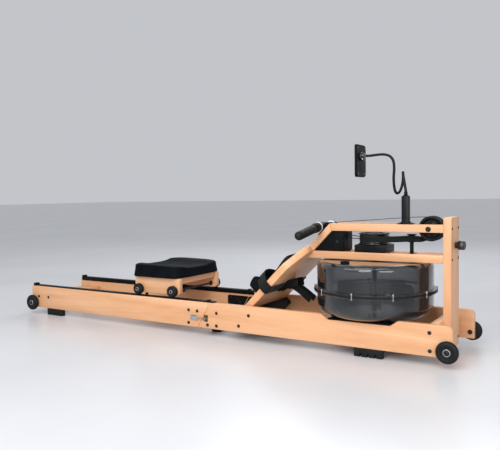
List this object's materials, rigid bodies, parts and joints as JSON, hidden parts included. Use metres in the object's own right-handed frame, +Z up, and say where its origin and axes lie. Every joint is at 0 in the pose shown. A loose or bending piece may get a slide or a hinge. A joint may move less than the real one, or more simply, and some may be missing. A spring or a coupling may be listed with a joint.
{
  "type": "rowing machine",
  "caption": "Folding wooden water-resistance rowing machine with a rolling seat on a two-part rail frame, footboard, strap-driven paddle tank and monitor on a flexible arm.",
  "frame": {"origin": "on the floor, midway between the front and rear end wheels, on the centre plane", "axes": "+X along the machine from the seat towards the water tank, +Y to the rower's left, +Z up"},
  "size_m": [2.105, 0.4748, 0.753],
  "materials": {
    "beech": "satin clear lacquer",
    "rubber": "matte",
    "black_plastic": "fine moulded grain",
    "black_metal": "satin powder coat",
    "bright_steel": "zinc plated",
    "webbing": "woven webbing",
    "smoked_plastic": "smoked clear, glossy",
    "saddle_skin": "moulded foam skin, matte"
  },
  "bodies": {
    "front_axle": {"front_axle_bolt_left": "bright_steel", "front_axle_bolt_right": "bright_steel"},
    "front_wheel_left": {"front_wheel_left": "rubber"},
    "front_wheel_right": {"front_wheel_right": "rubber"},
    "front_frame": {"front_rail_left": "beech", "front_rail_right": "beech", "front_crossmember": "beech", "middle_foot_bar": "rubber", "front_foot_left": "rubber", "front_foot_right": "rubber", "front_column": "beech", "top_beam_left": "beech", "top_beam_right": "beech", "mid_beam_left": "beech", "mid_beam_right": "beech", "diagonal_left": "beech", "diagonal_right": "beech", "footboard": "beech", "footboard_bracket": "black_plastic", "foot_plate_left": "black_plastic", "foot_plate_right": "black_plastic", "tank_cradle": "black_plastic", "tank_lower_shell": "smoked_plastic", "tank_upper_shell": "smoked_plastic", "tank_seal": "rubber", "bearing_housing": "black_metal", "pulley_housing": "black_plastic", "drive_belt_upper": "webbing", "drive_belt_lower": "webbing", "guide_post": "black_metal", "handle_rest": "black_plastic", "holder_bracket": "black_metal", "gooseneck": "black_metal"},
    "paddle": {"paddle": "black_plastic"},
    "spool": {"spool": "black_metal"},
    "front_pulley": {"front_pulley": "black_metal"},
    "guide_roller": {"guide_roller": "black_plastic"},
    "handle": {"handle": "rubber"},
    "monitor": {"monitor_case": "black_plastic"},
    "tank_plug": {"tank_plug": "black_plastic"},
    "front_knob": {"front_knob": "black_plastic"},
    "rear_frame": {"rear_rail_left": "beech", "rear_rail_right": "beech", "track_left": "black_plastic", "track_right": "black_plastic", "rear_crossmember": "beech", "rear_foot_left": "rubber", "rear_foot_right": "rubber"},
    "rear_wheel_left": {"rear_wheel_left": "rubber"},
    "rear_wheel_right": {"rear_wheel_right": "rubber"},
    "seat": {"seat_cheek_left": "beech", "seat_cheek_right": "beech", "seat_board": "beech", "saddle": "saddle_skin"},
    "seat_roller_front_left": {"seat_roller_front_left": "rubber"},
    "seat_roller_front_right": {"seat_roller_front_right": "rubber"},
    "seat_roller_rear_left": {"seat_roller_rear_left": "rubber"},
    "seat_roller_rear_right": {"seat_roller_rear_right": "rubber"},
    "latch_left": {"latch_lever_left": "bright_steel"},
    "latch_right": {"latch_lever_right": "bright_steel"}
  },
  "joints": [
    {"name": "front_wheel_left_spin", "type": "hinge", "parent": "front_axle", "child": "front_wheel_left", "pos_m": [1.015, 0.183, 0.055], "axis": [0, 1, 0], "continuous": true},
    {"name": "front_wheel_right_spin", "type": "hinge", "parent": "front_axle", "child": "front_wheel_right", "pos_m": [1.015, -0.183, 0.055], "axis": [0, 1, 0], "continuous": true},
    {"name": "frame_tilt", "type": "hinge", "parent": "front_axle", "child": "front_frame", "pos_m": [1.015, 0, 0.055], "axis": [0, 1, 0], "range_deg": [0, 72]},
    {"name": "fold", "type": "hinge", "parent": "front_frame", "child": "rear_frame", "pos_m": [0, 0, 0.031], "axis": [0, -1, 0], "range_deg": [0, 144]},
    {"name": "rear_wheel_left_spin", "type": "hinge", "parent": "rear_frame", "child": "rear_wheel_left", "pos_m": [-1.015, 0.183, 0.055], "axis": [0, 1, 0], "continuous": true},
    {"name": "rear_wheel_right_spin", "type": "hinge", "parent": "rear_frame", "child": "rear_wheel_right", "pos_m": [-1.015, -0.183, 0.055], "axis": [0, 1, 0], "continuous": true},
    {"name": "seat_slide", "type": "slide", "parent": "rear_frame", "child": "seat", "axis": [1, 0, 0], "range_m": [-0.649, 0.156]},
    {"name": "seat_roller_front_left_spin", "type": "hinge", "parent": "seat", "child": "seat_roller_front_left", "pos_m": [-0.14, 0.16, 0.1673], "axis": [0, 1, 0], "range_deg": [-1600, 400]},
    {"name": "seat_roller_front_right_spin", "type": "hinge", "parent": "seat", "child": "seat_roller_front_right", "pos_m": [-0.14, -0.16, 0.1673], "axis": [0, 1, 0], "range_deg": [-1600, 400]},
    {"name": "seat_roller_rear_left_spin", "type": "hinge", "parent": "seat", "child": "seat_roller_rear_left", "pos_m": [-0.33, 0.16, 0.1673], "axis": [0, 1, 0], "range_deg": [-1600, 400]},
    {"name": "seat_roller_rear_right_spin", "type": "hinge", "parent": "seat", "child": "seat_roller_rear_right", "pos_m": [-0.33, -0.16, 0.1673], "axis": [0, 1, 0], "range_deg": [-1600, 400]},
    {"name": "handle_pull", "type": "slide", "parent": "front_frame", "child": "handle", "axis": [-1, 0, 0], "range_m": [0, 1.15], "stiffness_N_per_m": 12, "springref_m": -0.3},
    {"name": "spool_spin", "type": "hinge", "parent": "front_frame", "child": "spool", "pos_m": [0.703, 0, 0.4055], "axis": [0, 0, 1], "range_deg": [0, 1440]},
    {"name": "front_pulley_spin", "type": "hinge", "parent": "front_frame", "child": "front_pulley", "pos_m": [0.918, 0, 0.446], "axis": [0, -1, 0], "range_deg": [0, 1700]},
    {"name": "guide_roller_spin", "type": "hinge", "parent": "front_frame", "child": "guide_roller", "pos_m": [0.843, 0.004, 0.41], "axis": [0, 0, 1], "range_deg": [0, 5600]},
    {"name": "paddle_spin", "type": "hinge", "parent": "front_frame", "child": "paddle", "pos_m": [0.703, 0, 0.2], "axis": [0, 0, 1], "continuous": true},
    {"name": "monitor_tilt", "type": "hinge", "parent": "front_frame", "child": "monitor", "pos_m": [0.6867, -0.042, 0.711], "axis": [-0.0872, 0.9962, 0], "range_deg": [-25, 25]},
    {"name": "tank_plug_lift", "type": "slide", "parent": "front_frame", "child": "tank_plug", "axis": [0, 0, 1], "range_m": [0, 0.03]},
    {"name": "front_knob_turn", "type": "hinge", "parent": "front_frame", "child": "front_knob", "pos_m": [0.997, 0, 0.389], "axis": [1, 0, 0], "range_deg": [-180, 180]},
    {"name": "latch_left_swing", "type": "hinge", "parent": "rear_frame", "child": "latch_left", "pos_m": [-0.028, 0.178, 0.07], "axis": [0, 0, 1], "range_deg": [0, 95]},
    {"name": "latch_right_swing", "type": "hinge", "parent": "rear_frame", "child": "latch_right", "pos_m": [-0.028, -0.178, 0.07], "axis": [0, 0, -1], "range_deg": [0, 95]}
  ],
  "couplings": [
    {"joint": "fold", "follows": "frame_tilt", "ratio": 2},
    {"joint": "seat_roller_front_left_spin", "follows": "seat_slide", "rad_per_m": 41.667},
    {"joint": "seat_roller_front_right_spin", "follows": "seat_slide", "rad_per_m": 41.667},
    {"joint": "seat_roller_rear_left_spin", "follows": "seat_slide", "rad_per_m": 41.667},
    {"joint": "seat_roller_rear_right_spin", "follows": "seat_slide", "rad_per_m": 41.667},
    {"joint": "spool_spin", "follows": "handle_pull", "rad_per_m": 21.739},
    {"joint": "front_pulley_spin", "follows": "handle_pull", "rad_per_m": 25},
    {"joint": "guide_roller_spin", "follows": "handle_pull", "rad_per_m": 83.333}
  ]
}
